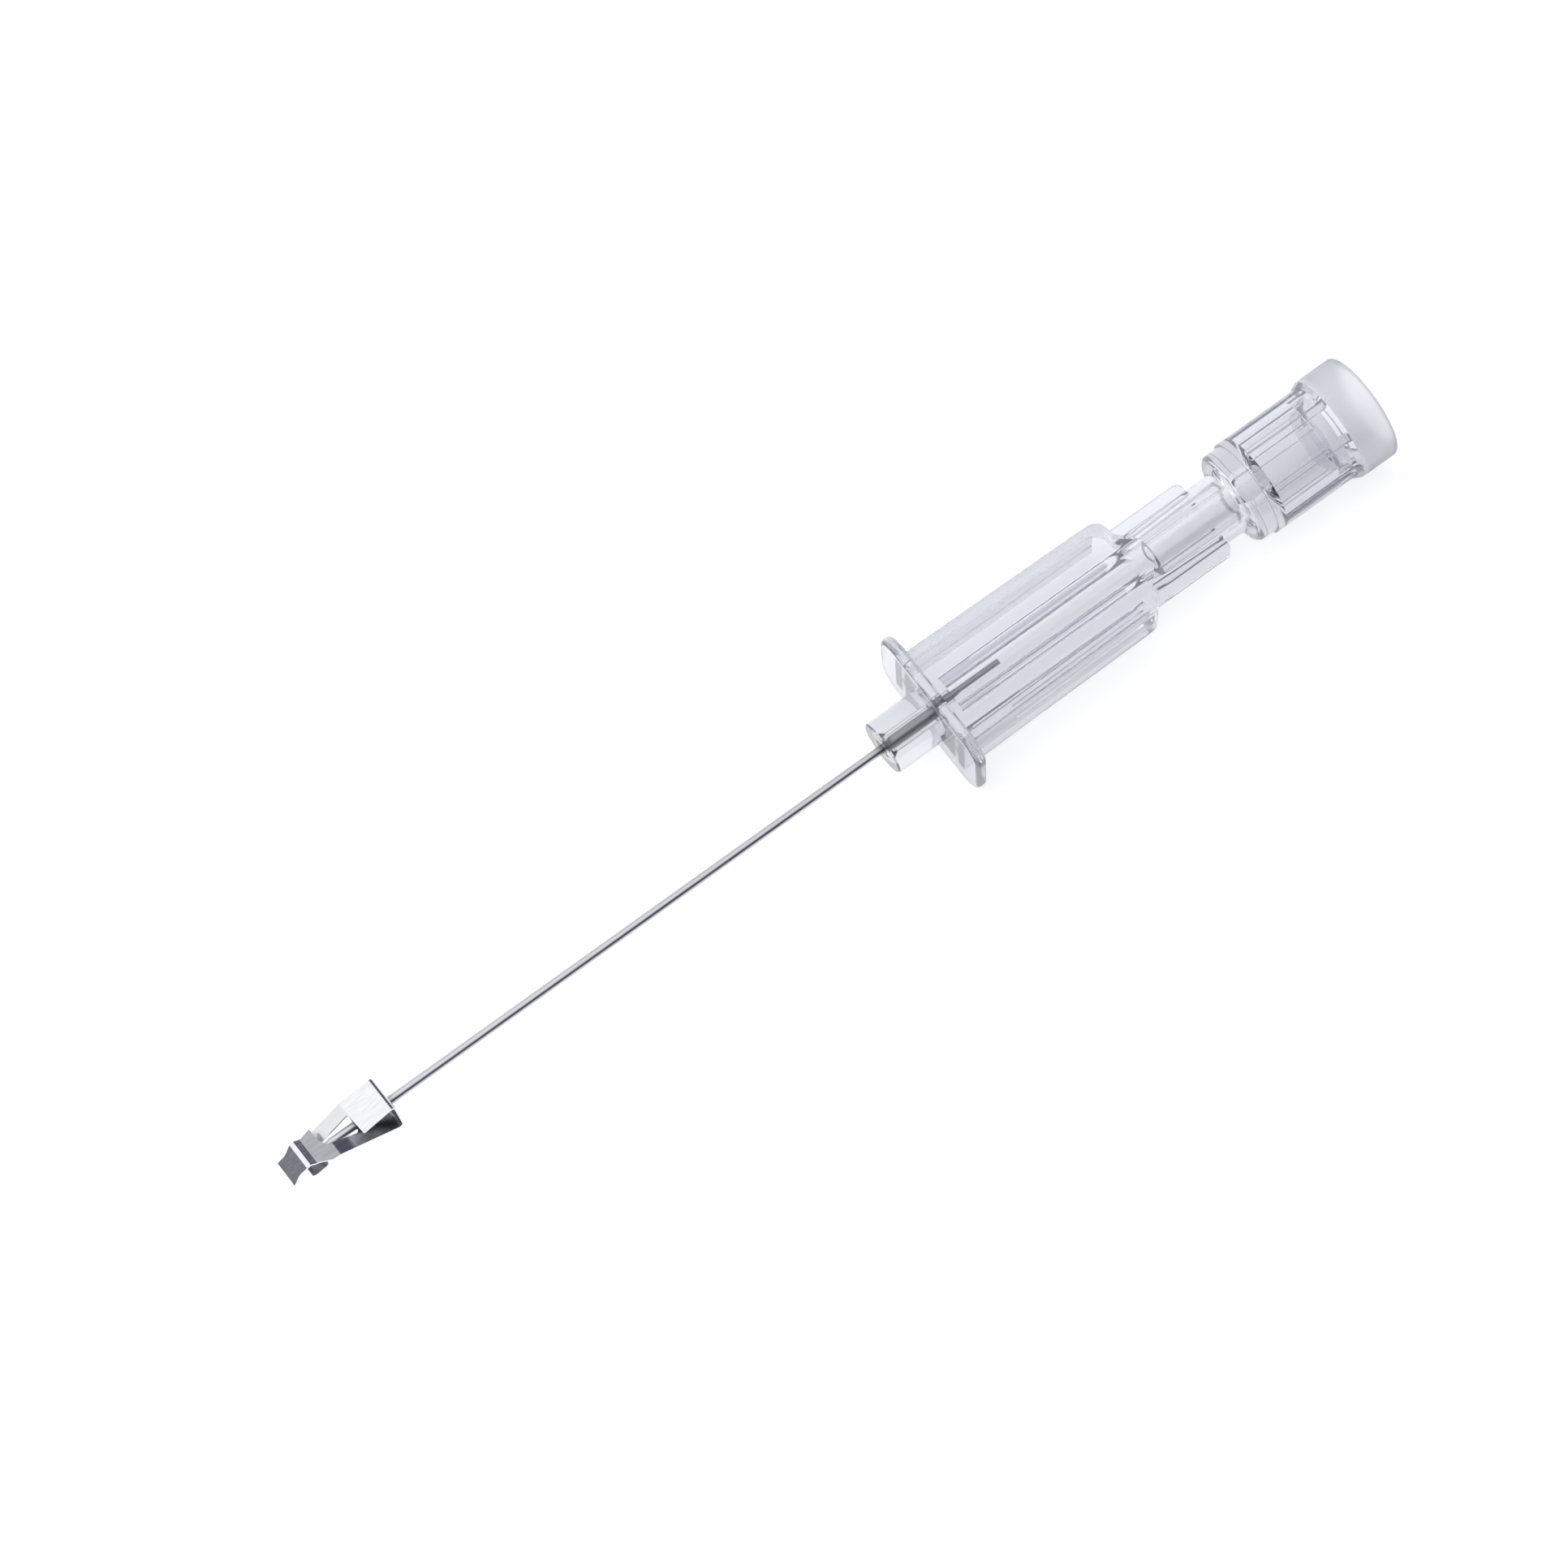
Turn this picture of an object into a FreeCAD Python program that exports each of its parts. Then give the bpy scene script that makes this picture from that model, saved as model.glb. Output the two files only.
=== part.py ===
"""Needle assembly of a safety IV cannula, lying on its thumb flange and its vent plug.

Frame: millimetres, origin at the centre of the hub nose's front face, +X along the needle axis towards the
vent plug, +Z up. The needle points to -X.
"""
import FreeCAD, Part
import math
import os

import Sketcher
from FreeCAD import Placement, Rotation, Vector

# Driving dimensions

WHOLE_LENGTH = 92.62  # guard clip's end to the plug's end

NOSE_RADIUS = 2.05  # nose that seats in the catheter's hub
NOSE_CHAMFER = 0.12  # chamfer round the nose's front face
NOSE_LENGTH = 4.05  # front face to the flange
FLANGE_THICKNESS = 0.85  # thumb flange along the axis
FLANGE_HALF_WIDTH = 5.72  # thumb flange, axis to its side edge
FLANGE_HALF_HEIGHT = 4.2  # thumb flange, axis to the edge it lies on
FLANGE_CORNER = 2.1  # rounding of the flange's corners
FLANGE_EDGE_ROUND = 0.3  # rounding of the flange's rim edges

TUBE_RADIUS = 2.08  # flash chamber's outside behind the flange
TUBE_SLOPE = 0.006  # growth of the chamber's outside radius along the axis
GRIP_LENGTH = 16.8  # grip, from the flange to its rear end
GRIP_HALF_WIDTH = 4.0  # axis to a grip plate's outer face at the flange
GRIP_DRAFT = 0.0115  # how far the grip plates close in for each unit of length
GRIP_THICKNESS = 0.75  # grip plate
GRIP_HALF_HEIGHT = 2.7  # grip plate, axis to its upper edge
CORE_HALF_WIDTH = 2.9  # axis to the side of the solid core round the chamber
CORE_HALF_HEIGHT = 2.5  # axis to the top of that core
END_WALL = 1.3  # wall that closes the grip at its rear
BOW_LENGTH = 1.4  # rear of the grip, its wedge over the socket
BOW_ROOT = 2.3  # half the width of that wedge where it starts
BOW_TIP = 0.75  # half the width of that wedge at its end
GRIP_CORNER = 1.1  # rounding of the grip's rear corners in plan
GRIP_EDGE_ROUND = 0.12  # rounding of a grip plate's long edges
WEB_HALF_THICKNESS = 0.35  # half the web between core and grip plates
FIN_HALF_WIDTH = 3.2  # axis to the edge of the fins behind the grip plates
FIN_LENGTH = 6.5  # fins, from the grip plates to their rear end
FIN_CORNER = 0.6  # rounding of a fin's rear corner
SOCKET_WALL = 0.58  # wall of the socket at its mouth
SOCKET_STEP = 2.2  # length of the cone from the chamber to the socket
SOCKET_END_GAP = 0.25  # socket's mouth to the plug's shoulder

NEEDLE_RADIUS = 0.31  # needle tube, outside
NEEDLE_WALL = 0.1  # needle tube's wall
NEEDLE_INSIDE = 10.2  # nose's front face to the needle's inner end
BEVEL_ANGLE = 16  # main bevel, degrees to the axis
LANCET_TURN = 38  # side bevels, turn about the axis, degrees
LANCET_ANGLE = 24  # side bevels, degrees to the axis
BEVEL_CUTTER_HALF = 2.5  # half the side of the box that cuts a bevel
SWELLING_EXTRA = 0.09  # how far the stop swelling stands out of the needle
SWELLING_LENGTH = 1.0  # stop swelling along the needle
SWELLING_GAP = 0.3  # clip's rear wall to the stop swelling

GLUE_THICKNESS = 0.16  # adhesive round the needle in the nose
GLUE_LENGTH = 6.5  # adhesive along the needle
WELL_RADIUS = 0.8  # adhesive well in the nose's front face
WELL_DEPTH = 0.7  # adhesive well
BOND_CLEARANCE = 0.01  # adhesive to the needle and to the nose
SEAT_END = 5.9  # nose's front face to the end of the needle's seat
CHAMBER_RADIUS = 1.55  # flash chamber's bore

TIP_IN_CLIP = 5.65  # back of the clip's rear wall to the needle's tip
CLIP_SHEET = 0.13  # spring sheet
CLIP_HALF_HEIGHT = 1.37  # axis to the outside of an arm at the rear wall
CLIP_HALF_WIDTH = 1.49  # half the width of the rear wall
CLIP_FLARE = 1.6  # half the width of the clip where its arms cross
CLIP_FOLD = 0.22  # inner radius of the folds
CLIP_TURN = 18  # clip's turn about the needle at rest, degrees
CLIP_RUNNING = 0.05  # clearance of the rear wall's hole on the needle
ARM_SLOT = 0.42  # needle axis to the inner edge of an arm's strip
ARM_PLATE = 2.7  # rear wall to where an arm narrows to its strip
CROSS_AT = 5.4  # rear wall to where the arms have crossed
GUARD_FOLD = 0.65  # fold in the guard arm to where the arms have crossed
HOOK_FOLD = 1.05  # last fold but one of the hook arm to the elbow
CROSS_GAP = 0.28  # middle of one arm to middle of the other where they cross
ELBOW_AT = 6.92  # rear wall to the guard wall's elbow
ELBOW_HALF_WIDTH = 1.17  # half the width of the elbow
WAIST_HALF_WIDTH = 0.98  # half the width of the guard wall's waist
CLIP_LENGTH = 8.62  # rear wall to the end of the guard wall

TAPER_LENGTH = 6.95  # plug's male taper, tip to shoulder
TAPER_RADIUS = 1.56  # plug's male taper at its tip
LUER_SLOPE = 0.03  # growth of the taper's radius for each unit of length
TAPER_RUNNING = 0.03  # clearance of the taper in the socket
PLUG_AT = 30.25  # nose's front face to the plug's shoulder
RING_LENGTH = 1.5  # plug's front ring
RING_RADIUS = 3.56  # plug's front ring
RING_ROUND = 0.45  # rounding of the front ring's front edge
GRIP_BODY_RADIUS = 3.74  # plug's grooved grip
GRIP_BODY_LENGTH = 6.6  # plug's grooved grip
COLLAR_RAMP = 0.65  # cone from the grip to the collar
COLLAR_RADIUS = 4.08  # plug's collar
COLLAR_LENGTH = 3.1  # plug's collar
COLLAR_ROUND = 0.35  # rounding of the collar's rear edge
GROOVE_COUNT = 8  # grip grooves round the plug
GROOVE_DEPTH = 0.25  # grip groove
GROOVE_HALF_WIDTH = 0.33  # grip groove, half its width
GROOVE_MARGIN = 0.55  # grip groove's end to the end of the grip
PLUG_TURN = 12  # plug's turn about the axis, degrees
VENT_RADIUS = 0.95  # bore through the plug's taper
CUP_RADIUS = 2.55  # hollow in the plug's grip, under the filter
CUP_CONE = 0.5  # length of the cone from the vent bore to the hollow
CUP_FLOOR = 2.0  # plug's shoulder to the start of that cone
FILTER_RADIUS = 2.95  # vent filter
FILTER_THICKNESS = 0.3  # vent filter
FILTER_CLEARANCE = 0.03  # vent filter in its seat
FILTER_SEAT = 7.1  # plug's shoulder to the filter's seat
MOUTH_RADIUS = 3.35  # recess in the collar
MOUTH_DEPTH = 3.2  # recess in the collar

# What the whole length leaves for the needle in front of the nose

CLIP_REACH = WHOLE_LENGTH - PLUG_AT - RING_LENGTH - GRIP_BODY_LENGTH - COLLAR_RAMP - COLLAR_LENGTH - CLIP_LENGTH
NEEDLE_REACH = CLIP_REACH + TIP_IN_CLIP

doc = FreeCAD.newDocument("needle_assembly")
sizes = doc.addObject("Spreadsheet::Sheet", "sizes")

# Each dimension above goes to the sheet under its own name in small letters.

named = [(name.lower(), number) for name, number in globals().items()
         if name.isupper() and isinstance(number, (int, float))]
for row, (alias, number) in enumerate(named, 1):
    sizes.set(f"A{row}", alias.replace("_", " "))
    sizes.set(f"B{row}", str(number))
    sizes.setAlias(f"B{row}", alias)
doc.recompute()


def value(expression):
    """Number that an expression of the sheet's aliases gives now."""
    return float(sizes.evalExpression(expression))


def bound(expression):
    """The same expression as an object outside the sheet has to write it."""
    words = []
    word = ""
    for letter in expression + " ":
        if letter.isalnum() or letter in "_.":
            word += letter
            continue
        words.append("sizes." + word if word and word[0].isalpha() else word)
        words.append(letter)
        word = ""
    return "".join(words).strip()


# Places along the axis that several pieces share

FLANGE_BACK = "nose_length + flange_thickness"
GRIP_END = FLANGE_BACK + " + grip_length"
FIN_END = GRIP_END + " + fin_length"
SOCKET_MOUTH = "plug_at - socket_end_gap"
TAPER_TIP = "plug_at - taper_length"
SOCKET_FLOOR = TAPER_TIP + " - socket_step"
TAPER_AT_MOUTH = "taper_radius + luer_slope * (taper_length - socket_end_gap)"
SOCKET_OUTSIDE = f"{TAPER_AT_MOUTH} + taper_running + socket_wall"
BORE_RADIUS = "needle_radius + glue_thickness"
PLUG_END = "plug_at + ring_length + grip_body_length + collar_ramp + collar_length"
RING_END = "plug_at + ring_length"
GRIP_BODY_END = RING_END + " + grip_body_length"
COLLAR_START = GRIP_BODY_END + " + collar_ramp"


# Sketches and features

def is_zero(number):
    return abs(number) < 1e-6


def new_body(label):
    body = doc.addObject("PartDesign::Body", label)
    body.Label = label
    return body


def plane_of(body, role):
    for feature in body.Origin.OriginFeatures:
        if feature.Role == role:
            return feature
    raise ValueError(role)


def new_sketch(body, name, role):
    sketch = body.newObject("Sketcher::SketchObject", name)
    sketch.AttachmentSupport = [(plane_of(body, role), "")]
    sketch.MapMode = "FlatFace"
    return sketch


def constrain(sketch, kind, expression, *places):
    """Adds a dimension and binds it to the sheet."""
    index = sketch.addConstraint(Sketcher.Constraint(kind, *places, value(expression)))
    sketch.setExpression(f"Constraints[{index}]", bound(expression))


def fix_point(sketch, geometry, end, corner):
    """Ties one end of a line to the expressions of its two coordinates."""
    for kind, axis, expression in (("DistanceX", -2, corner[0]), ("DistanceY", -1, corner[1])):
        if is_zero(value(expression)):
            sketch.addConstraint(Sketcher.Constraint("PointOnObject", geometry, end, axis))
        else:
            constrain(sketch, kind, expression, -1, 1, geometry, end)


def draw_polygon(sketch, corners):
    """Closed outline through corners given as pairs of expressions."""
    points = [Vector(value(x), value(y), 0) for x, y in corners]
    lines = []
    for start, end in zip(points, points[1:] + points[:1]):
        lines.append(sketch.addGeometry(Part.LineSegment(start, end), False))
    for line, after in zip(lines, lines[1:] + lines[:1]):
        sketch.addConstraint(Sketcher.Constraint("Coincident", line, 2, after, 1))
    for line, corner in zip(lines, corners):
        fix_point(sketch, line, 1, corner)


def turned(body, name, corners, cut=False):
    """Solid of revolution about X, or a cut of that form."""
    sketch = new_sketch(body, name + "_outline", "XZ_Plane")
    draw_polygon(sketch, corners)
    feature = body.newObject("PartDesign::Groove" if cut else "PartDesign::Revolution", name)
    feature.Profile = sketch
    feature.ReferenceAxis = (sketch, ["H_Axis"])
    feature.Angle = 360
    body.Tip = feature
    doc.recompute()
    return feature


def slab(body, name, outlines, half_height):
    """Plate that is symmetric about the XY plane."""
    sketch = new_sketch(body, name + "_outline", "XY_Plane")
    for corners in outlines:
        draw_polygon(sketch, corners)
    pad = body.newObject("PartDesign::Pad", name)
    pad.Profile = sketch
    pad.Midplane = True
    pad.setExpression("Length", bound(f"2 * {half_height}"))
    body.Tip = pad
    doc.recompute()
    return pad


def mirrored(corners):
    """Outline on the other side of the X axis, in the same sense of turn."""
    return [(x, f"-({y})") for x, y in reversed(corners)]


def rounded(body, name, radius, wanted):
    """Fillet on the edges of the body that the test wanted accepts."""
    base = body.Tip
    edges = [f"Edge{number}" for number, edge in enumerate(base.Shape.Edges, 1) if wanted(edge)]
    if not edges:
        raise ValueError(name + " finds no edge")
    fillet = body.newObject("PartDesign::Fillet", name)
    fillet.Base = (base, edges)
    fillet.setExpression("Radius", bound(radius))
    body.Tip = fillet
    doc.recompute()
    return fillet


def is_near(number, expression, within=0.02):
    return abs(number - value(expression)) < within


def runs_along(edge, axis):
    if not isinstance(edge.Curve, Part.Line):
        return False
    return abs(abs(edge.Curve.Direction.dot(axis)) - 1) < 1e-3


def is_circle_at(edge, x_expression, radius_expression):
    """Full or part circle about the X axis at one place and radius."""
    if not isinstance(edge.Curve, Part.Circle):
        return False
    on_axis = math.hypot(edge.Curve.Center.y, edge.Curve.Center.z) < 1e-3
    return on_axis and is_near(edge.Curve.Center.x, x_expression) and is_near(edge.Curve.Radius, radius_expression)


# Needle hub: nose, flange, chamber, grip plates and socket in one moulding

def build_needle_hub():
    body = new_body("needle_hub")
    turned(body, "hub_core", [
        ("0", "0"),
        ("0", "nose_radius - nose_chamfer"),
        ("nose_chamfer", "nose_radius"),
        ("nose_length", "nose_radius"),
        (FLANGE_BACK, "tube_radius"),
        (SOCKET_FLOOR, f"tube_radius + tube_slope * ({SOCKET_FLOOR} - nose_length)"),
        (TAPER_TIP, SOCKET_OUTSIDE),
        (SOCKET_MOUTH, SOCKET_OUTSIDE),
        (SOCKET_MOUTH, "0"),
    ])
    flange = slab(body, "thumb_flange", [[
        ("nose_length", "-flange_half_width"),
        (FLANGE_BACK, "-flange_half_width"),
        (FLANGE_BACK, "flange_half_width"),
        ("nose_length", "flange_half_width"),
    ]], "flange_half_height")
    corner_reach = value("flange_half_width")
    rounded(body, "flange_corners", "flange_corner", lambda edge: runs_along(edge, Vector(1, 0, 0))
            and is_zero(abs(edge.CenterOfMass.y) - corner_reach))
    rim_x = (value("nose_length"), value(FLANGE_BACK))
    clear_of_core = value("flange_half_height") - value("flange_corner")
    rounded(body, "flange_rim", "flange_edge_round", lambda edge: any(is_zero(edge.CenterOfMass.x - x) for x in rim_x)
            and math.hypot(edge.CenterOfMass.y, edge.CenterOfMass.z) > clear_of_core)

    front = "nose_length + flange_edge_round"
    slab(body, "core_block", [[
        (front, "-core_half_width"),
        (GRIP_END, "-core_half_width"),
        (GRIP_END, "core_half_width"),
        (front, "core_half_width"),
    ]], "core_half_height")

    side = "grip_half_width - grip_draft * grip_length"
    side_at_wall = "grip_half_width - grip_draft * (grip_length - end_wall)"
    wall_front = GRIP_END + " - end_wall"
    grip = [
        (front, "grip_half_width - grip_thickness"),
        (wall_front, f"{side_at_wall} - grip_thickness"),
        (wall_front, side_at_wall),
        (front, "grip_half_width"),
    ]
    slab(body, "grip_plates", [grip, mirrored(grip)], "grip_half_height")
    slab(body, "grip_end", [[
        (wall_front, f"-({side_at_wall})"),
        (GRIP_END, f"-({side})"),
        (GRIP_END, "-bow_root"),
        (GRIP_END + " + bow_length", "-bow_tip"),
        (GRIP_END + " + bow_length", "bow_tip"),
        (GRIP_END, "bow_root"),
        (GRIP_END, side),
        (wall_front, side_at_wall),
    ]], "core_half_height")
    grip_side = value(side)
    rounded(body, "grip_rear_corners", "grip_corner", lambda edge: is_near(edge.CenterOfMass.x, GRIP_END)
            and runs_along(edge, Vector(0, 0, 1)) and is_near(abs(edge.CenterOfMass.y), side))
    slab(body, "webs", [[
        (front, "-fin_half_width"),
        (FIN_END, "-fin_half_width"),
        (FIN_END, "fin_half_width"),
        (front, "fin_half_width"),
    ]], "web_half_thickness")
    fin_side = value("fin_half_width")
    rounded(body, "fin_corners", "fin_corner", lambda edge: runs_along(edge, Vector(0, 0, 1))
            and is_near(edge.CenterOfMass.x, FIN_END) and abs(edge.CenterOfMass.y) > fin_side / 2)
    top = value("grip_half_height")
    rounded(body, "grip_outer_edges", "grip_edge_round", lambda edge: abs(edge.CenterOfMass.y) > grip_side
            and is_zero(abs(edge.CenterOfMass.z) - top) and edge.Length > value("grip_length") / 2)

    socket_at_mouth = f"{TAPER_AT_MOUTH} + taper_running"
    turned(body, "hub_hollow", [
        ("-nose_chamfer", "0"),
        ("-nose_chamfer", "well_radius"),
        ("0", "well_radius"),
        ("well_depth", BORE_RADIUS),
        ("seat_end", BORE_RADIUS),
        ("seat_end", "chamber_radius"),
        (SOCKET_FLOOR, "chamber_radius"),
        (TAPER_TIP, "taper_radius + taper_running"),
        (SOCKET_MOUTH, socket_at_mouth),
        (SOCKET_MOUTH + " + socket_step", socket_at_mouth),
        (SOCKET_MOUTH + " + socket_step", "0"),
    ], cut=True)
    return body


# Needle: a drawn tube with a bevelled tip

def bevel_cutter(name, turn, angle):
    """Box below a plane through the needle's tip. The tip is the highest point of the needle's front end."""
    box = doc.addObject("Part::Box", name)
    for side in ("Length", "Width", "Height"):
        box.setExpression(side, bound("2 * bevel_cutter_half"))
    half = value("bevel_cutter_half")
    tip_height = value("needle_radius") * math.cos(math.radians(turn))
    tilt = Rotation(Vector(0, 1, 0), 180 + angle)
    roll = Rotation(Vector(1, 0, 0), turn)
    corner = Vector(-value("needle_reach"), 0, tip_height) + tilt.multVec(Vector(-half, -half, 0))
    box.Placement = Placement(roll.multVec(corner), roll.multiply(tilt))
    return box


def build_needle():
    reach = value("needle_reach")
    outer = doc.addObject("Part::Cylinder", "needle_outside")
    outer.setExpression("Radius", bound("needle_radius"))
    outer.setExpression("Height", bound("needle_reach + needle_inside"))
    swelling = doc.addObject("Part::Ellipsoid", "needle_swelling")
    swelling.setExpression("Radius1", bound("swelling_length / 2"))
    swelling.setExpression("Radius2", bound("needle_radius - needle_wall / 2"))
    swelling.setExpression("Radius3", bound("needle_radius + swelling_extra"))
    bore = doc.addObject("Part::Cylinder", "needle_bore")
    bore.setExpression("Radius", bound("needle_radius - needle_wall"))
    bore.setExpression("Height", bound("needle_reach + needle_inside + 4 * needle_radius"))
    lie_down = Rotation(Vector(0, 1, 0), 90)
    outer.Placement = Placement(Vector(-reach, 0, 0), lie_down)
    bore.Placement = Placement(Vector(-reach - 2 * value("needle_radius"), 0, 0), lie_down)
    for piece, place in ((outer, "-needle_reach"), (bore, "-needle_reach - 2 * needle_radius")):
        piece.setExpression(".Placement.Base.x", bound(place))
    swelling.Placement = Placement(Vector(0, 0, 0), lie_down)
    swelling.setExpression(".Placement.Base.x", bound(
        "-clip_reach - clip_sheet - swelling_gap - swelling_length / 2"))

    solid = doc.addObject("Part::MultiFuse", "needle_solid")
    solid.Shapes = [outer, swelling]
    hollow = doc.addObject("Part::Cut", "needle_tube")
    hollow.Base = solid
    hollow.Tool = bore
    bevel = value("bevel_angle")
    lancet = value("lancet_angle")
    turn = value("lancet_turn")
    cutters = doc.addObject("Part::MultiFuse", "needle_cutters")
    cutters.Shapes = [
        bevel_cutter("main_bevel", 0, bevel),
        bevel_cutter("left_bevel", turn, lancet),
        bevel_cutter("right_bevel", -turn, lancet),
    ]
    needle = doc.addObject("Part::Cut", "needle")
    needle.Base = hollow
    needle.Tool = cutters
    needle.Label = "needle"
    doc.recompute()
    return needle


# Adhesive between the needle and the nose

def build_adhesive():
    body = new_body("needle_adhesive")
    inside = "needle_radius + bond_clearance"
    outside = f"{BORE_RADIUS} - bond_clearance"
    turned(body, "adhesive", [
        ("0", inside),
        ("0", "well_radius - 2 * bond_clearance"),
        ("well_depth", outside),
        ("glue_length", outside),
        ("glue_length", inside),
    ])
    return body


# Safety clip: two bent bands and a rear wall in one folded sheet

def smooth_wire(points, radii):
    """Closed wire through points, with each corner rounded by its radius."""
    count = len(points)
    arcs = []
    for index, point in enumerate(points):
        before = (points[index - 1] - point).normalize()
        after = (points[(index + 1) % count] - point).normalize()
        half = before.getAngle(after) / 2
        if radii[index] <= 0 or abs(half - math.pi / 2) < 1e-4:
            arcs.append((point, None, point))
            continue
        back = radii[index] / math.tan(half)
        middle = (before + after).normalize()
        centre = point + middle * (radii[index] / math.sin(half))
        arcs.append((point + before * back, centre - middle * radii[index], point + after * back))
    edges = []
    for index, (start, through, end) in enumerate(arcs):
        if through is not None:
            edges.append(Part.Arc(start, through, end).toShape())
        following = arcs[(index + 1) % count][0]
        if not is_zero(end.distanceToPoint(following)):
            edges.append(Part.LineSegment(end, following).toShape())
    return Part.Wire(edges)


def bent_band(points, radii, sheet, half_width):
    """Strip of sheet that follows a line of points in the XZ plane, with folds of the given inner radius."""
    sides = ([], [])
    for index, point in enumerate(points):
        normals = []
        for first, second in ((index - 1, index), (index, index + 1)):
            if first >= 0 and second < len(points):
                along = points[second] - points[first]
                normals.append(Vector(-along.z, 0, along.x).normalize())
        mean = normals[0] if len(normals) == 1 else (normals[0] + normals[1]).normalize()
        stretch = sheet / 2 / mean.dot(normals[0])
        sides[0].append(point + mean * stretch)
        sides[1].append(point - mean * stretch)
    turns = [0.0]
    for index in range(1, len(points) - 1):
        before = points[index] - points[index - 1]
        after = points[index + 1] - points[index]
        turns.append(before.x * after.z - before.z * after.x)
    turns.append(0.0)
    outline = sides[0] + list(reversed(sides[1]))
    left = [radii[i] + (sheet if turns[i] < 0 else 0) if turns[i] else 0 for i in range(len(points))]
    right = [radii[i] + (sheet if turns[i] > 0 else 0) if turns[i] else 0 for i in range(len(points))]
    face = Part.Face(smooth_wire(outline, left + list(reversed(right))))
    band = face.extrude(Vector(0, 2 * half_width, 0))
    band.translate(Vector(0, -half_width, 0))
    return band


def plan_block(points, radii, half_height):
    """Block of a plan outline in the XY plane, taller than the clip."""
    block = Part.Face(smooth_wire(points, radii)).extrude(Vector(0, 0, 2 * half_height))
    block.translate(Vector(0, 0, -half_height))
    return block


def build_clip():
    sheet = value("clip_sheet")
    fold = value("clip_fold")
    wall = -value("clip_reach") - sheet / 2
    rise = value("clip_half_height") - sheet / 2
    half_width = value("clip_half_width")
    flare = value("clip_flare")
    slot = value("arm_slot")
    narrow_at = wall - value("arm_plate")
    cross_at = wall - value("cross_at")
    elbow_at = wall - value("elbow_at")
    end_at = wall - value("clip_length") + sheet
    cross_gap = value("cross_gap")
    elbow_rise = 0.68 * rise
    wide = value("elbow_half_width")
    waist = value("waist_half_width")
    round_corner = sheet

    # The guard arm starts under the needle and ends above and in front of the tip.
    guard_line = [
        Vector(wall, 0, 0),
        Vector(wall, 0, -rise),
        Vector(cross_at + value("guard_fold"), 0, 1.7 * cross_gap),
        Vector(elbow_at + 0.45, 0, 0.55 * rise),
        Vector(elbow_at + 0.05, 0, elbow_rise + 0.08),
        Vector(elbow_at - 0.25, 0, elbow_rise),
        Vector(end_at, 0, -0.04 * rise),
    ]
    guard_band = bent_band(guard_line, [0, fold, 2 * fold, fold / 2, fold / 3, fold / 3, 0], sheet, 2 * flare)
    step = 0.1
    guard_plan = [
        Vector(wall + sheet, -half_width, 0),
        Vector(wall + sheet, half_width, 0),
        Vector(narrow_at, half_width + step, 0),
        Vector(narrow_at - step, -slot - step, 0),
        Vector(cross_at + 0.35, -slot, 0),
        Vector(cross_at - 0.05, slot, 0),
        Vector(cross_at - 0.05, flare - 0.1, 0),
        Vector(elbow_at + 0.6, wide + 0.02, 0),
        Vector(elbow_at - 0.3, wide, 0),
        Vector((elbow_at - 0.3 + end_at) / 2, waist, 0),
        Vector(end_at - sheet, wide, 0),
        Vector(end_at - sheet, -wide, 0),
        Vector((elbow_at - 0.3 + end_at) / 2, -waist, 0),
        Vector(elbow_at - 0.3, -wide, 0),
        Vector(elbow_at + 0.6, -wide - 0.02, 0),
        Vector(cross_at, -flare, 0),
    ]
    guard_rounds = [0, 0, round_corner, 2 * round_corner, round_corner, round_corner, 0, 3 * round_corner, round_corner,
                    4 * round_corner, 0, 0, 4 * round_corner, round_corner, 3 * round_corner, 2 * round_corner]
    guard_arm = guard_band.common(plan_block(guard_plan, guard_rounds, 2 * rise))

    # The hook arm starts above the needle and passes below the guard arm.
    hook_line = [
        Vector(wall, 0, 0),
        Vector(wall, 0, rise),
        Vector(narrow_at, 0, 0.76 * rise),
        Vector(cross_at, 0, -0.2 * cross_gap),
        Vector(elbow_at + value("hook_fold"), 0, -0.26 * rise),
        Vector(elbow_at + 0.1, 0, -0.38 * rise),
        Vector(elbow_at - 0.2, 0, -0.28 * rise),
    ]
    hook_band = bent_band(hook_line, [0, fold, 4 * fold, fold, fold, fold / 2, 0], sheet, 2 * flare)
    hook_plan = [
        Vector(wall + sheet, half_width, 0),
        Vector(wall + sheet, -half_width, 0),
        Vector(narrow_at, -half_width - step, 0),
        Vector(narrow_at - step, slot, 0),
        Vector(cross_at - 0.1, slot, 0),
        Vector(cross_at - 0.35, -wide, 0),
        Vector(elbow_at - 0.5, -wide, 0),
        Vector(elbow_at - 0.5, wide, 0),
        Vector(cross_at - 0.45, wide, 0),
        Vector(cross_at, flare, 0),
    ]
    hook_rounds = [0, 0, round_corner, 2 * round_corner, round_corner, round_corner, 0, 0, round_corner, 2 * round_corner]
    hook_arm = hook_band.common(plan_block(hook_plan, hook_rounds, 2 * rise))

    hole_radius = value("needle_radius + clip_running")
    hole = Part.makeCylinder(hole_radius, 4 * sheet, Vector(wall - 2 * sheet, 0, 0), Vector(1, 0, 0))
    shape = guard_arm.fuse(hook_arm).cut(hole).removeSplitter()
    clip = doc.addObject("Part::Feature", "safety_clip")
    clip.Label = "safety_clip"
    clip.Shape = shape.Solids[0] if len(shape.Solids) == 1 else shape
    clip.Placement = Placement(Vector(0, 0, 0), Rotation(Vector(1, 0, 0), -value("clip_turn")))
    return clip


# Vent plug: male taper, front ring, grooved grip and collar in one moulding

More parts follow.
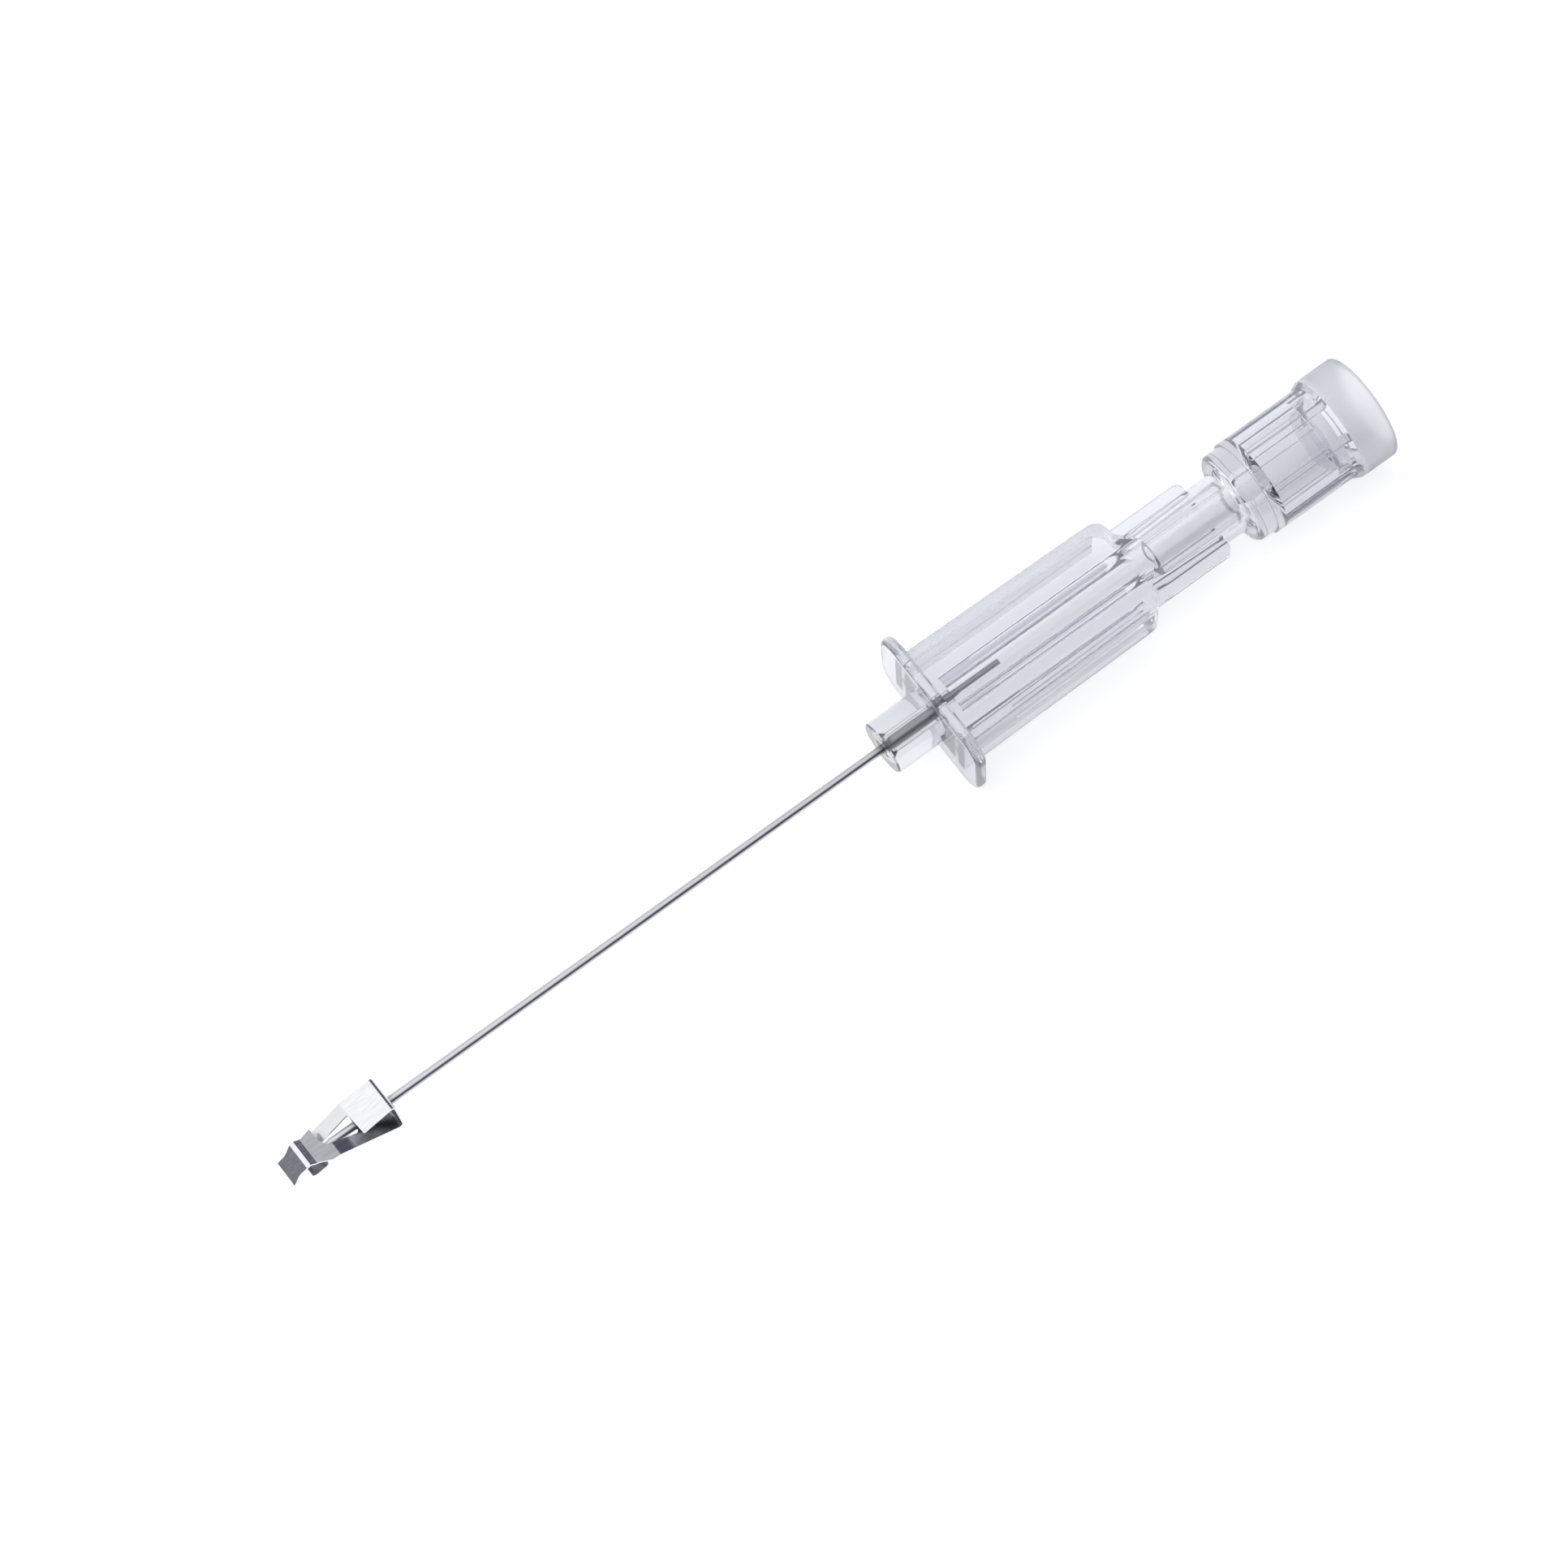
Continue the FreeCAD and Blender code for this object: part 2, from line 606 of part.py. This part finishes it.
def build_vent_plug():
    body = new_body("vent_plug")
    turned(body, "plug_core", [
        (TAPER_TIP, "0"),
        (TAPER_TIP, "taper_radius"),
        ("plug_at", "taper_radius + luer_slope * taper_length"),
        ("plug_at", "ring_radius"),
        (RING_END, "ring_radius"),
        (RING_END, "grip_body_radius"),
        (GRIP_BODY_END, "grip_body_radius"),
        (COLLAR_START, "collar_radius"),
        (PLUG_END, "collar_radius"),
        (PLUG_END, "0"),
    ])
    rounded(body, "ring_edge", "ring_round", lambda edge: is_circle_at(edge, "plug_at", "ring_radius"))
    rounded(body, "collar_edge", "collar_round", lambda edge: is_circle_at(edge, PLUG_END, "collar_radius"))

    sketch = new_sketch(body, "groove_outline", "XY_Plane")
    sketch.AttachmentOffset = Placement(Vector(0, 0, value("grip_body_radius - groove_depth")), Rotation())
    sketch.setExpression(".AttachmentOffset.Base.z", bound("grip_body_radius - groove_depth"))
    front = RING_END + " + groove_margin + groove_half_width"
    back = GRIP_BODY_END + " + collar_ramp"
    front_x = value(front)
    back_x = value(back)
    half = value("groove_half_width")
    upper = sketch.addGeometry(Part.LineSegment(Vector(back_x, half, 0), Vector(front_x, half, 0)), False)
    circle = Part.Circle(Vector(front_x, 0, 0), Vector(0, 0, 1), half)
    bend = sketch.addGeometry(Part.ArcOfCircle(circle, math.pi / 2, 3 * math.pi / 2), False)
    lower = sketch.addGeometry(Part.LineSegment(Vector(front_x, -half, 0), Vector(back_x, -half, 0)), False)
    close = sketch.addGeometry(Part.LineSegment(Vector(back_x, -half, 0), Vector(back_x, half, 0)), False)
    for first, first_end, second, second_end in ((upper, 2, bend, 1), (bend, 2, lower, 1)):
        sketch.addConstraint(Sketcher.Constraint("Tangent", first, first_end, second, second_end))
    sketch.addConstraint(Sketcher.Constraint("Coincident", lower, 2, close, 1))
    sketch.addConstraint(Sketcher.Constraint("Coincident", close, 2, upper, 1))
    sketch.addConstraint(Sketcher.Constraint("Vertical", close))
    sketch.addConstraint(Sketcher.Constraint("PointOnObject", bend, 3, -1))
    constrain(sketch, "Radius", "groove_half_width", bend)
    constrain(sketch, "DistanceX", front, -1, 1, bend, 3)
    constrain(sketch, "DistanceX", back, -1, 1, close, 1)
    sketch.addConstraint(Sketcher.Constraint("Horizontal", upper))
    pocket = body.newObject("PartDesign::Pocket", "groove")
    pocket.Profile = sketch
    pocket.Reversed = True
    pocket.setExpression("Length", bound("collar_radius"))
    body.Tip = pocket
    doc.recompute()
    pattern = body.newObject("PartDesign::PolarPattern", "grooves")
    pattern.Originals = [pocket]
    pattern.Axis = (plane_of(body, "X_Axis"), [""])
    pattern.Angle = 360
    pattern.setExpression("Occurrences", bound("groove_count"))
    body.Tip = pattern
    doc.recompute()

    filter_front = "plug_at + filter_seat"
    recess_start = PLUG_END + " - mouth_depth"
    seat_radius = "filter_radius + filter_clearance"
    turned(body, "plug_hollow", [
        (TAPER_TIP + " - 1", "0"),
        (TAPER_TIP + " - 1", "vent_radius"),
        ("plug_at + cup_floor", "vent_radius"),
        ("plug_at + cup_floor + cup_cone", "cup_radius"),
        (filter_front, "cup_radius"),
        (filter_front, seat_radius),
        (recess_start, seat_radius),
        (recess_start, "mouth_radius"),
        (PLUG_END + " + 1", "mouth_radius"),
        (PLUG_END + " + 1", "0"),
    ], cut=True)
    body.Placement = Placement(Vector(0, 0, 0), Rotation(Vector(1, 0, 0), -value("plug_turn")))
    return body


# Vent filter: a thin disc on its seat in the plug

def build_vent_filter():
    disc = doc.addObject("Part::Cylinder", "vent_filter")
    disc.Label = "vent_filter"
    disc.setExpression("Radius", bound("filter_radius"))
    disc.setExpression("Height", bound("filter_thickness"))
    start = "plug_at + filter_seat + filter_clearance"
    disc.Placement = Placement(Vector(value(start), 0, 0), Rotation(Vector(0, 1, 0), 90))
    disc.setExpression(".Placement.Base.x", bound(start))
    return disc


pieces = [
    build_needle_hub(),
    build_needle(),
    build_adhesive(),
    build_clip(),
    build_vent_plug(),
    build_vent_filter(),
]
doc.recompute()

# Every object is tested before anything is written.

for item in doc.Objects:
    if "Invalid" in item.State or "Error" in item.State:
        raise RuntimeError(f"{item.Label} did not build: {item.State}")
for piece in pieces:
    shape = piece.Shape
    if shape.isNull() or not shape.isValid() or len(shape.Solids) != 1:
        raise RuntimeError(f"{piece.Label} is not one valid solid")

os.makedirs("parts", exist_ok=True)
for piece in pieces:
    piece.Shape.exportStep(f"parts/{piece.Label}.step")
    box = piece.Shape.BoundBox
    print(f"{piece.Label}: {piece.Shape.Volume:.3f} mm3, x {box.XMin:.2f} to {box.XMax:.2f}, "
          f"y {box.YMin:.2f} to {box.YMax:.2f}, z {box.ZMin:.2f} to {box.ZMax:.2f}")
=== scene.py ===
"""Looks for the needle assembly of a safety IV cannula: clear mouldings, steel needle and spring guard clip."""
import math

import bmesh
import bpy
from mathutils import Matrix, Vector


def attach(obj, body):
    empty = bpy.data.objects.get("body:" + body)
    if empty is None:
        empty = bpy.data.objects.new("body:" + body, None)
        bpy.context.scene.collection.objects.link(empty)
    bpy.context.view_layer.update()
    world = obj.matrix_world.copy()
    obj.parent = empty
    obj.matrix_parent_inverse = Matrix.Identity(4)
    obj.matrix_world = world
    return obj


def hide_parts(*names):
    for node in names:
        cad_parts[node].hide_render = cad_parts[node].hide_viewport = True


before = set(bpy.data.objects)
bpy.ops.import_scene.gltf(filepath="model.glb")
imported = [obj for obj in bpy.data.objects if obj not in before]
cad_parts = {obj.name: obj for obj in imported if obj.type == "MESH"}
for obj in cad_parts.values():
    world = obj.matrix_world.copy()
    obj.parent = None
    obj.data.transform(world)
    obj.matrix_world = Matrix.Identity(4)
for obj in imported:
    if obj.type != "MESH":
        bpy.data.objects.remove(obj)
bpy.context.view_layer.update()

MM = 0.001
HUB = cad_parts["needle_hub"]
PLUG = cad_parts["vent_plug"]
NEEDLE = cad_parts["needle"]
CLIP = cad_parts["safety_clip"]
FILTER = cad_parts["vent_filter"]

FLOOR_Z = -4.2 * MM  # lowest place of the part
FLOOR_GAP = 0.02 * MM  # part to the floor's face
FLOOR_HALF = 4.0  # half the side of the floor
FLOOR_GLOW = 0.72  # light the floor adds where it is seen, so that it goes over into white

VIEW_TILT = math.radians(8.45)  # part's rear end turned away from the viewer
VIEW_ROLL = math.radians(15.0)  # part turned about its axis
VIEW_TURN = math.radians(35.5)  # part's axis in the picture
VIEW_DISTANCE = 450 * MM
VIEW_AIM_X = -6.987 * MM
VIEW_AIM_ACROSS = 1.96 * MM
LENS = 149.63
SENSOR = 36.0

BRIGHT_SIDE = (0.0, 0.8, 0.6)  # middle of the bright panel, seen from the part
PANEL_LEVEL = 1.2
DARK_SIDE = (0.066, 0.072, 0.105, 1)

PLASTIC_IOR = 1.58
HAZE_COLOUR = (0.8, 0.82, 0.91, 1)
SKIN = 0.15  # outer zone where a moulding goes from clear to milky
FROST = 0.35  # roughness added to the frosted collar
FROST_EDGE = 0.4  # length in which the frost sets in
HUB_OUTSIDE = 1.95  # faces further from the axis than this are outer faces
PLUG_OUTSIDE = 3.5
COLLAR_FROM = 39.0  # the plug's frosted collar starts here
NO_COLLAR = 99.0  # place behind the part, for a moulding without frost

FOLD_SHADE_REACH = 2.5 * MM  # reach of the painted shade that darkens the steel's colour between the clip's folds
BOND_END = 6.5  # rear end of the bonding
BOND_NECK = 0.7  # length of its wider front
BOND_MOUTH_RADIUS = 0.79  # a hair over the bore's mouth
BOND_RADIUS = 0.49  # a hair over the bore
BOND_TAIL_RADIUS = 0.42
BOND_INSIDE = 0.29  # a hair inside the needle's wall
RING_STEPS = 48


# Camera

def add_camera():
    st, ct = math.sin(VIEW_TILT), math.cos(VIEW_TILT)
    sr, cr = math.sin(VIEW_ROLL), math.cos(VIEW_ROLL)
    back = Vector((-st, -ct * sr, ct * cr))
    along = Vector((ct, -st * sr, st * cr))
    across = Vector((0, cr, sr))
    right = along * math.cos(VIEW_TURN) - across * math.sin(VIEW_TURN)
    up = along * math.sin(VIEW_TURN) + across * math.cos(VIEW_TURN)
    place = Vector((VIEW_AIM_X, 0, 0)) + across * VIEW_AIM_ACROSS + back * VIEW_DISTANCE
    data = bpy.data.cameras.new("camera")
    data.lens = LENS
    data.sensor_width = SENSOR
    data.clip_start = 0.01
    data.clip_end = 20
    camera = bpy.data.objects.new("camera", data)
    bpy.context.scene.collection.objects.link(camera)
    camera.matrix_world = Matrix((
        (right.x, up.x, back.x, place.x),
        (right.y, up.y, back.y, place.y),
        (right.z, up.z, back.z, place.z),
        (0, 0, 0, 1),
    ))
    bpy.context.scene.camera = camera


# Node helpers

class Nodes:
    """Short calls for building a node tree."""

    def __init__(self, tree):
        self.tree = tree

    def add(self, kind, settings=None, **inputs):
        node = self.tree.nodes.new(kind)
        for name, given in (settings or {}).items():
            setattr(node, name, given)
        for name, given in inputs.items():
            self.put(node, name.replace("_", " "), given)
        return node

    def put(self, node, name, given):
        socket = node.inputs[name]
        if isinstance(given, bpy.types.NodeSocket):
            self.tree.links.new(given, socket)
        else:
            socket.default_value = given

    def math(self, operation, first, second=0.0):
        node = self.tree.nodes.new("ShaderNodeMath")
        node.operation = operation
        self.put(node, 0, first)
        self.put(node, 1, second)
        return node.outputs[0]

    def noise(self, vector, scale, detail=3.0, roughness=0.5):
        node = self.tree.nodes.new("ShaderNodeTexNoise")
        self.put(node, "Vector", vector)
        node.inputs["Scale"].default_value = scale
        node.inputs["Detail"].default_value = detail
        node.inputs["Roughness"].default_value = roughness
        return node.outputs["Fac"]

    def stretched(self, scale):
        """Object position scaled by axis."""
        place = self.tree.nodes.new("ShaderNodeTexCoord")
        mapping = self.tree.nodes.new("ShaderNodeMapping")
        self.tree.links.new(place.outputs["Object"], mapping.inputs["Vector"])
        mapping.inputs["Scale"].default_value = scale
        return mapping.outputs["Vector"]

    def ramp(self, factor, stops):
        node = self.tree.nodes.new("ShaderNodeValToRGB")
        self.put(node, "Fac", factor)
        elements = node.color_ramp.elements
        while len(elements) < len(stops):
            elements.new(0.5)
        for element, (place, colour) in zip(elements, stops):
            element.position = place
            element.color = colour
        return node.outputs["Color"]

    def bump(self, height, distance, strength=1.0):
        node = self.tree.nodes.new("ShaderNodeBump")
        self.put(node, "Height", height)
        node.inputs["Distance"].default_value = distance
        node.inputs["Strength"].default_value = strength
        return node.outputs["Normal"]


def new_material(name):
    material = bpy.data.materials.new(name)
    material.use_nodes = True
    tree = material.node_tree
    tree.nodes.clear()
    output = tree.nodes.new("ShaderNodeOutputMaterial")
    return material, Nodes(tree), output


def grey(level, alpha=1.0):
    return (level, level, level, alpha)


# Materials

def clear_plastic(name, tint, roughness, haze, outside, frosted_from):
    """Clear moulding, tinted and a little milky on its outer faces, clear in its bores and frosted at its rear."""
    material, nodes, output = new_material(name)
    place = nodes.add("ShaderNodeTexCoord").outputs["Object"]
    split = nodes.add("ShaderNodeSeparateXYZ", Vector=place)
    across = nodes.math("MULTIPLY", split.outputs["Y"], split.outputs["Y"])
    upward = nodes.math("MULTIPLY", split.outputs["Z"], split.outputs["Z"])
    radius = nodes.math("SQRT", nodes.math("ADD", across, upward))
    skin_depth = nodes.add("ShaderNodeMapRange", Value=radius, From_Min=(outside - SKIN) * MM, From_Max=outside * MM)
    outer = skin_depth.outputs[0]
    cloud = nodes.noise(nodes.stretched((260, 700, 700)), 1.0, detail=2.0)
    deep = tuple(level * 0.97 for level in tint)
    skin = nodes.ramp(cloud, ((0.35, (*deep, 1)), (0.65, (*tint, 1))))
    paint = nodes.add("ShaderNodeMix", {"data_type": "RGBA"})
    nodes.put(paint, 0, outer)
    paint.inputs[6].default_value = grey(1.0)
    nodes.put(paint, 7, skin)
    shader = nodes.add("ShaderNodeBsdfPrincipled")
    nodes.put(shader, "Base Color", paint.outputs[2])
    shader.inputs["Transmission Weight"].default_value = 1.0
    shader.inputs["IOR"].default_value = PLASTIC_IOR
    polish = nodes.noise(nodes.stretched((300, 300, 300)), 1.0)
    rough = nodes.add("ShaderNodeMapRange", Value=polish, To_Min=roughness, To_Max=roughness + 0.03)
    frost = nodes.add("ShaderNodeMapRange", Value=split.outputs["X"], From_Min=frosted_from * MM,
                      From_Max=(frosted_from + FROST_EDGE) * MM, To_Max=FROST)
    dull = nodes.math("ADD", rough.outputs[0], frost.outputs[0])
    nodes.put(shader, "Roughness", nodes.math("MULTIPLY", dull, outer))
    ripple = nodes.noise(nodes.stretched((50, 300, 300)), 1.0, detail=1.0)
    nodes.put(shader, "Normal", nodes.bump(ripple, 0.002 * MM, 0.2))
    veil = nodes.add("ShaderNodeBsdfDiffuse")
    veil.inputs["Color"].default_value = HAZE_COLOUR
    through = nodes.add("ShaderNodeBsdfTranslucent")
    through.inputs["Color"].default_value = HAZE_COLOUR
    milk = nodes.add("ShaderNodeMixShader")
    milk.inputs[0].default_value = 0.5
    nodes.tree.links.new(veil.outputs[0], milk.inputs[1])
    nodes.tree.links.new(through.outputs[0], milk.inputs[2])
    both = nodes.add("ShaderNodeMixShader")
    share = nodes.add("ShaderNodeMapRange", Value=cloud, To_Min=haze * 0.85, To_Max=haze * 1.15)
    nodes.put(both, 0, nodes.math("MULTIPLY", share.outputs[0], outer))
    nodes.tree.links.new(shader.outputs[0], both.inputs[1])
    nodes.tree.links.new(milk.outputs[0], both.inputs[2])
    nodes.tree.links.new(both.outputs[0], output.inputs["Surface"])
    return material


def steel(name, colour, roughness, grain_scale, bump_depth):
    """Drawn or rolled steel with a fine grain along the part, its colour darkened with painted shade deep between
    its folds.
    """
    material, nodes, output = new_material(name)
    shader = nodes.add("ShaderNodeBsdfPrincipled")
    shader.inputs["Metallic"].default_value = 1.0
    grain = nodes.noise(nodes.stretched(grain_scale), 1.0, detail=5.0, roughness=0.6)
    dark = tuple(level * 0.86 for level in colour)
    paint = nodes.ramp(grain, ((0.3, (*dark, 1)), (0.7, (*colour, 1))))
    # Painted shade: ambient occlusion darkens the base colour where folds and close parts meet.
    open_to_light = nodes.add("ShaderNodeAmbientOcclusion", {"samples": 8})
    open_to_light.inputs["Distance"].default_value = FOLD_SHADE_REACH
    shade = nodes.add("ShaderNodeMapRange", Value=open_to_light.outputs["AO"],
                      From_Min=0.45, From_Max=0.85, To_Min=0.55)
    painted_fold_shade = nodes.add("ShaderNodeMix", {"data_type": "RGBA", "blend_type": "MULTIPLY"})
    painted_fold_shade.inputs[0].default_value = 1.0
    nodes.put(painted_fold_shade, 6, paint)
    nodes.put(painted_fold_shade, 7, shade.outputs[0])
    nodes.put(shader, "Base Color", painted_fold_shade.outputs[2])
    rough = nodes.add("ShaderNodeMapRange", Value=grain, To_Min=roughness, To_Max=roughness + 0.12)
    nodes.put(shader, "Roughness", rough.outputs[0])
    nodes.put(shader, "Normal", nodes.bump(grain, bump_depth, 0.5))
    nodes.tree.links.new(shader.outputs[0], output.inputs["Surface"])
    return material


def adhesive(name):
    """Cured adhesive, clear and a little warm, that bends light as the plastic round it does."""
    material, nodes, output = new_material(name)
    shader = nodes.add("ShaderNodeBsdfPrincipled")
    cloud = nodes.noise(nodes.stretched((900, 900, 900)), 1.0)
    colour = nodes.ramp(cloud, ((0.3, (0.93, 0.9, 0.86, 1)), (0.8, (0.97, 0.95, 0.93, 1))))
    nodes.put(shader, "Base Color", colour)
    shader.inputs["Transmission Weight"].default_value = 1.0
    shader.inputs["IOR"].default_value = PLASTIC_IOR
    shader.inputs["Roughness"].default_value = 0.05
    nodes.tree.links.new(shader.outputs[0], output.inputs["Surface"])
    return material


def porous_disc(name):
    """Thin porous membrane that lets most of the light through."""
    material, nodes, output = new_material(name)
    pores = nodes.noise(nodes.stretched((6000, 6000, 6000)), 1.0, detail=4.0)
    colour = nodes.ramp(pores, ((0.35, (0.95, 0.955, 0.96, 1)), (0.6, (0.98, 0.985, 0.99, 1))))
    glow = nodes.add("ShaderNodeBsdfTranslucent", Color=colour)
    clear = nodes.add("ShaderNodeBsdfTransparent", Color=colour)
    mix = nodes.add("ShaderNodeMixShader")
    share = nodes.add("ShaderNodeMapRange", Value=pores, To_Min=0.85, To_Max=0.95)
    nodes.put(mix, 0, share.outputs[0])
    nodes.tree.links.new(glow.outputs[0], mix.inputs[1])
    nodes.tree.links.new(clear.outputs[0], mix.inputs[2])
    nodes.tree.links.new(mix.outputs[0], output.inputs["Surface"])
    return material


def dress(piece, material):
    piece.data.materials.clear()
    piece.data.materials.append(material)


# Floor, world and lamps

def add_floor():
    corners = [(x * FLOOR_HALF, y * FLOOR_HALF, 0) for x, y in ((-1, -1), (1, -1), (1, 1), (-1, 1))]
    mesh = bpy.data.meshes.new("floor")
    mesh.from_pydata(corners, [], [(0, 1, 2, 3)])
    floor = bpy.data.objects.new("floor", mesh)
    floor.location = (0, 0, FLOOR_Z - FLOOR_GAP)
    bpy.context.scene.collection.objects.link(floor)
    material, nodes, output = new_material("floor")
    board = nodes.add("ShaderNodeBsdfDiffuse")
    speck = nodes.noise(nodes.stretched((400, 400, 400)), 1.0)
    nodes.put(board, "Color", nodes.ramp(speck, ((0.3, grey(0.80)), (0.7, grey(0.82)))))
    glow = nodes.add("ShaderNodeEmission")
    glow.inputs["Color"].default_value = grey(1.0)
    glow.inputs["Strength"].default_value = FLOOR_GLOW
    both = nodes.add("ShaderNodeAddShader")
    nodes.tree.links.new(board.outputs[0], both.inputs[0])
    nodes.tree.links.new(glow.outputs[0], both.inputs[1])
    path = nodes.add("ShaderNodeLightPath")
    seen = nodes.math("MAXIMUM", path.outputs["Is Camera Ray"],
                      nodes.math("MAXIMUM", path.outputs["Is Glossy Ray"], path.outputs["Is Transmission Ray"]))
    mix = nodes.add("ShaderNodeMixShader")
    nodes.put(mix, 0, seen)
    nodes.tree.links.new(board.outputs[0], mix.inputs[1])
    nodes.tree.links.new(both.outputs[0], mix.inputs[2])
    nodes.tree.links.new(mix.outputs[0], output.inputs["Surface"])
    dress(floor, material)


def add_world():
    """Soft studio: one bright panel high at a side of the part, dark elsewhere, white where it is seen directly."""
    world = bpy.data.worlds.new("studio")
    bpy.context.scene.world = world
    world.use_nodes = True
    tree = world.node_tree
    tree.nodes.clear()
    nodes = Nodes(tree)
    output = tree.nodes.new("ShaderNodeOutputWorld")
    place = tree.nodes.new("ShaderNodeTexCoord")
    towards = tree.nodes.new("ShaderNodeVectorMath")
    towards.operation = "DOT_PRODUCT"
    tree.links.new(place.outputs["Generated"], towards.inputs[0])
    towards.inputs[1].default_value = BRIGHT_SIDE
    soft = {"interpolation_type": "SMOOTHSTEP"}
    side = nodes.add("ShaderNodeMapRange", soft, Value=towards.outputs["Value"], From_Min=0.1, From_Max=0.95)
    split = tree.nodes.new("ShaderNodeSeparateXYZ")
    tree.links.new(place.outputs["Generated"], split.inputs[0])
    front = nodes.add("ShaderNodeMapRange", soft, Value=split.outputs["X"], From_Min=-0.8, From_Max=-0.5)
    back = nodes.add("ShaderNodeMapRange", soft, Value=split.outputs["X"], From_Min=0.45, From_Max=0.07)
    panel = nodes.math("MULTIPLY", side.outputs[0], nodes.math("MULTIPLY", front.outputs[0], back.outputs[0]))
    sky = nodes.add("ShaderNodeMix", {"data_type": "RGBA"})
    nodes.put(sky, 0, panel)
    sky.inputs[6].default_value = DARK_SIDE
    sky.inputs[7].default_value = grey(PANEL_LEVEL)
    room = nodes.add("ShaderNodeBackground", Color=sky.outputs[2])
    white = nodes.add("ShaderNodeBackground")
    white.inputs["Color"].default_value = grey(1.0)
    path = nodes.add("ShaderNodeLightPath")
    mix = nodes.add("ShaderNodeMixShader")
    nodes.put(mix, 0, path.outputs["Is Camera Ray"])
    tree.links.new(room.outputs[0], mix.inputs[1])
    tree.links.new(white.outputs[0], mix.inputs[2])
    tree.links.new(mix.outputs[0], output.inputs["Surface"])


def add_lamp(name, place, target, width, height, power):
    """Rectangular lamp that looks at a target."""
    data = bpy.data.lights.new(name, "AREA")
    data.shape = "RECTANGLE"
    data.size = width
    data.size_y = height
    data.energy = power
    lamp = bpy.data.objects.new(name, data)
    bpy.context.scene.collection.objects.link(lamp)
    lamp.location = place
    direction = Vector(target) - Vector(place)
    lamp.rotation_mode = "QUATERNION"
    lamp.rotation_quaternion = direction.to_track_quat("-Z", "Y")


# Bonding between needle and nose

def add_bonding():
    """The cured adhesive, a hair wider than its solid on both sides, so that no film of air shows round it."""
    rings = (
        (0.0, BOND_MOUTH_RADIUS),
        (BOND_NECK, BOND_RADIUS),
        (BOND_END - 0.55, BOND_RADIUS),
        (BOND_END, BOND_TAIL_RADIUS),
        (BOND_END + 0.1, BOND_INSIDE),
        (0.0, BOND_INSIDE),
    )
    points = []
    faces = []
    for ring, (x, radius) in enumerate(rings):
        start = ring * RING_STEPS
        after = (ring + 1) % len(rings) * RING_STEPS
        for step in range(RING_STEPS):
            angle = 2 * math.pi * step / RING_STEPS
            points.append((x * MM, radius * MM * math.cos(angle), radius * MM * math.sin(angle)))
            following = (step + 1) % RING_STEPS
            faces.append((start + step, start + following, after + following, after + step))
    mesh = bpy.data.meshes.new("bonding")
    mesh.from_pydata(points, [], faces)
    mesh.polygons.foreach_set("use_smooth", [True] * len(mesh.polygons))
    piece = bpy.data.objects.new("bonding", mesh)
    bpy.context.scene.collection.objects.link(piece)
    shape = bmesh.new()
    shape.from_mesh(mesh)
    bmesh.ops.recalc_face_normals(shape, faces=shape.faces)
    shape.to_mesh(mesh)
    shape.free()
    dress(piece, adhesive("adhesive"))
    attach(piece, "hub")
    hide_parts("needle_adhesive")


add_camera()
bpy.context.scene.view_settings.view_transform = "Standard"
dress(HUB, clear_plastic("clear_hub", (0.9, 0.915, 0.965), 0.01, 0.14, HUB_OUTSIDE, NO_COLLAR))
dress(PLUG, clear_plastic("clear_plug", (0.89, 0.905, 0.955), 0.03, 0.22, PLUG_OUTSIDE, COLLAR_FROM))
dress(NEEDLE, steel("needle_steel", (0.58, 0.59, 0.62), 0.24, (300, 9000, 9000), 0.002 * MM))
dress(CLIP, steel("spring_steel", (0.82, 0.83, 0.86), 0.18, (900, 6000, 900), 0.0006 * MM))
add_bonding()
dress(FILTER, porous_disc("porous_disc"))
add_floor()
add_world()
add_lamp("key", (-0.1, 0.02, 0.75), (0, 0, 0), 0.9, 0.9, 1.6)
